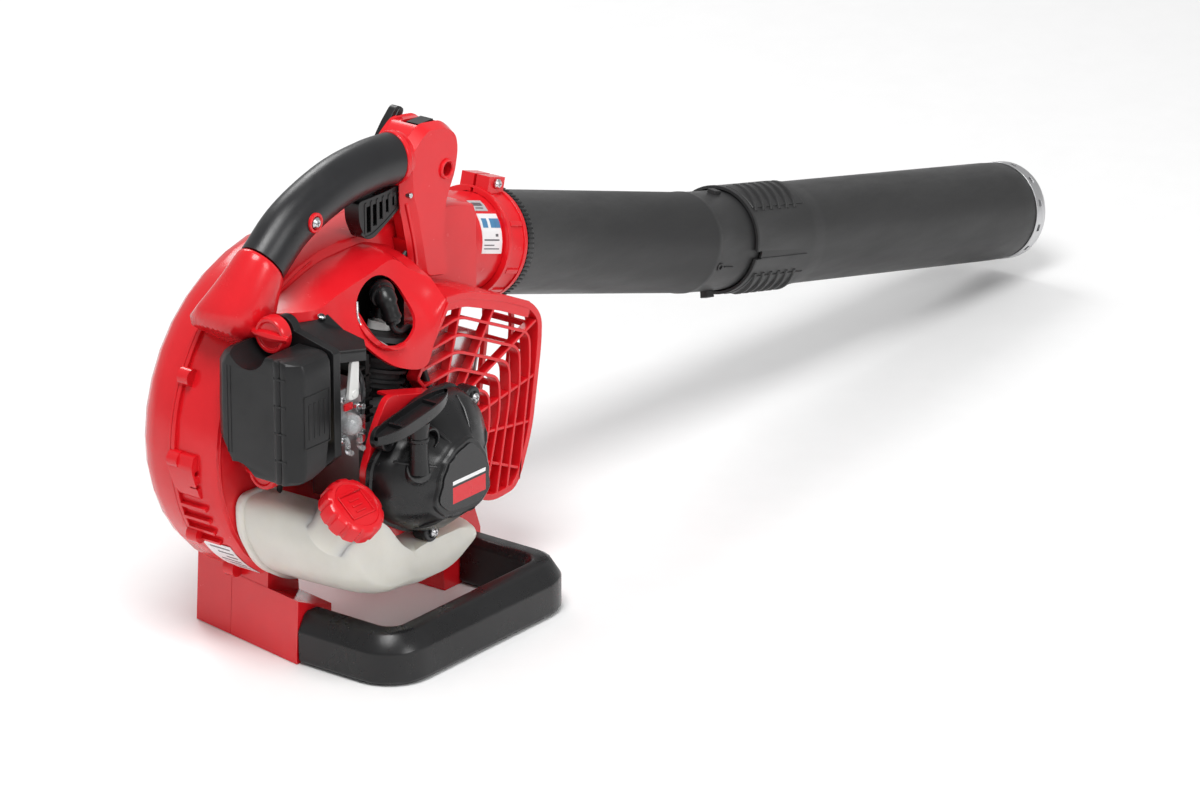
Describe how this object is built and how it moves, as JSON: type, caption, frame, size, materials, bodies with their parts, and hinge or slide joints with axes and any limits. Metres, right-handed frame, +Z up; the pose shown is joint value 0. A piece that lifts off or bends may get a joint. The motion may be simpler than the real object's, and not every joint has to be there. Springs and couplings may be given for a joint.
{
  "type": "leaf blower",
  "caption": "Hand-held petrol leaf blower with a scroll fan case, top handle, side engine, translucent tank, U-shaped stand and a two-piece blow pipe.",
  "frame": {"origin": "centre of the bounding box on the ground plane", "axes": "+X the way the air leaves, +Y towards the fan's air intake, +Z up"},
  "size_m": [1.0625, 0.2388, 0.3598],
  "materials": {
    "red_plastic": "gloss",
    "black_plastic": "satin",
    "grey_pipe": "satin",
    "clear_plastic": "clear, gloss",
    "tank_plastic": "translucent satin",
    "white_plastic": "satin",
    "rubber": "matt",
    "bright_steel": "satin",
    "cast_alloy": "cast",
    "black_alloy": "matt black paint",
    "foam": "open foam",
    "cord": "braided",
    "film": "printed film"
  },
  "bodies": {
    "machine": {"fan_case_engine_half": "red_plastic", "fan_case_intake_half": "red_plastic", "intake_grille": "black_plastic", "outlet_clamp": "red_plastic", "clamp_screw": "bright_steel", "rear_blow_pipe": "grey_pipe", "engine_cover": "red_plastic", "engine_shroud": "red_plastic", "muffler_guard": "red_plastic", "heat_shield": "bright_steel", "muffler": "bright_steel", "cylinder": "black_alloy", "crankcase": "cast_alloy", "main_bearing_fan_side": "bright_steel", "main_bearing_starter_side": "bright_steel", "spark_plug": "white_plastic", "spark_plug_boot": "rubber", "ignition_lead": "rubber", "ignition_coil": "black_plastic", "inlet_insulator": "black_plastic", "carburettor": "cast_alloy", "carburettor_hood": "black_plastic", "air_cleaner_base": "black_plastic", "air_filter": "foam", "base_stand": "black_plastic", "fuel_tank": "tank_plastic", "tank_filter": "foam", "fuel_line": "rubber", "handle_frame": "red_plastic", "handle_grip": "rubber", "grip_screw": "bright_steel", "throttle_cable": "rubber", "trigger_pin": "bright_steel", "maker_label": "film", "warning_label": "film", "starter_case": "black_plastic", "starter_post": "bright_steel", "starter_badge": "black_plastic", "recoil_spring": "bright_steel", "starter_screw_1": "bright_steel", "starter_screw_2": "bright_steel"},
    "rotor": {"crankshaft": "bright_steel", "fan_wheel": "black_plastic", "fan_nut": "bright_steel", "flywheel": "cast_alloy"},
    "reel": {"starter_reel": "white_plastic"},
    "pull_handle": {"starter_handle": "black_plastic", "starter_rope": "cord"},
    "trigger": {"throttle_trigger": "black_plastic"},
    "throttle_arm": {"throttle_arm": "bright_steel"},
    "throttle_lock": {"throttle_lock_lever": "black_plastic"},
    "switch": {"ignition_switch": "black_plastic"},
    "choke": {"choke_lever": "white_plastic"},
    "primer": {"primer_bulb": "clear_plastic"},
    "cap": {"fuel_cap": "red_plastic"},
    "cleaner_cover": {"air_cleaner_cover": "black_plastic"},
    "upper_knob": {"air_cleaner_knob_upper": "red_plastic"},
    "lower_knob": {"air_cleaner_knob_lower": "red_plastic"},
    "front_pipe": {"front_blow_pipe": "grey_pipe", "nozzle_ring": "bright_steel"}
  },
  "joints": [
    {"name": "crank_spin", "type": "hinge", "parent": "machine", "child": "rotor", "pos_m": [-0.3969, 0.03065, 0.145], "axis": [0, 1, 0], "continuous": true},
    {"name": "starter_pull", "type": "slide", "parent": "machine", "child": "pull_handle", "axis": [0, 0, 1], "range_m": [0, 0.7], "stiffness_N_per_m": 5, "springref_m": -1.2, "deforming": ["starter_rope"]},
    {"name": "starter_reel_turn", "type": "hinge", "parent": "machine", "child": "reel", "pos_m": [-0.3969, -0.08635, 0.145], "axis": [0, 1, 0], "range_deg": [0, 1500]},
    {"name": "throttle_squeeze", "type": "hinge", "parent": "machine", "child": "trigger", "pos_m": [-0.3299, 0.00065, 0.306], "axis": [0, 1, 0], "range_deg": [0, 10], "stiffness_Nm_per_rad": 0.6, "springref_deg": -20.05},
    {"name": "throttle_arm_turn", "type": "hinge", "parent": "machine", "child": "throttle_arm", "pos_m": [-0.4504, -0.06605, 0.1865], "axis": [0, 1, 0], "range_deg": [-61, 0]},
    {"name": "throttle_lock_set", "type": "hinge", "parent": "machine", "child": "throttle_lock", "pos_m": [-0.3129, 0.01865, 0.331], "axis": [0, 1, 0], "range_deg": [0, 50]},
    {"name": "ignition_rock", "type": "hinge", "parent": "machine", "child": "switch", "pos_m": [-0.3009, 0.00035, 0.3456], "axis": [0, 1, 0], "range_deg": [-12, 12]},
    {"name": "choke_turn", "type": "hinge", "parent": "machine", "child": "choke", "pos_m": [-0.4589, -0.06615, 0.207], "axis": [0, 1, 0], "range_deg": [-45, 0]},
    {"name": "primer_press", "type": "slide", "parent": "machine", "child": "primer", "axis": [0, 1, 0], "range_m": [0, 0.0027], "stiffness_N_per_m": 800, "springref_m": -0.001},
    {"name": "fuel_cap_turn", "type": "hinge", "parent": "machine", "child": "cap", "pos_m": [-0.4829, -0.0789, 0.12626], "axis": [0, -0.6606, 0.7507], "range_deg": [0, 540]},
    {"name": "cleaner_cover_off", "type": "slide", "parent": "machine", "child": "cleaner_cover", "axis": [-1, 0, 0], "range_m": [0, 0.06]},
    {"name": "upper_knob_turn", "type": "hinge", "parent": "cleaner_cover", "child": "upper_knob", "pos_m": [-0.4969, -0.02885, 0.254], "axis": [-1, 0, 0], "range_deg": [0, 1080]},
    {"name": "lower_knob_turn", "type": "hinge", "parent": "cleaner_cover", "child": "lower_knob", "pos_m": [-0.4969, -0.01935, 0.15], "axis": [-1, 0, 0], "range_deg": [0, 1080]},
    {"name": "front_pipe_twist", "type": "hinge", "parent": "machine", "child": "front_pipe", "pos_m": [0.11236, 0.04465, 0.13741], "axis": [0.9781, 0, -0.2079], "range_deg": [0, 40]}
  ],
  "couplings": [
    {"joint": "starter_reel_turn", "follows": "starter_pull", "rad_per_m": 36.364},
    {"joint": "throttle_arm_turn", "follows": "throttle_squeeze", "ratio": -6}
  ]
}
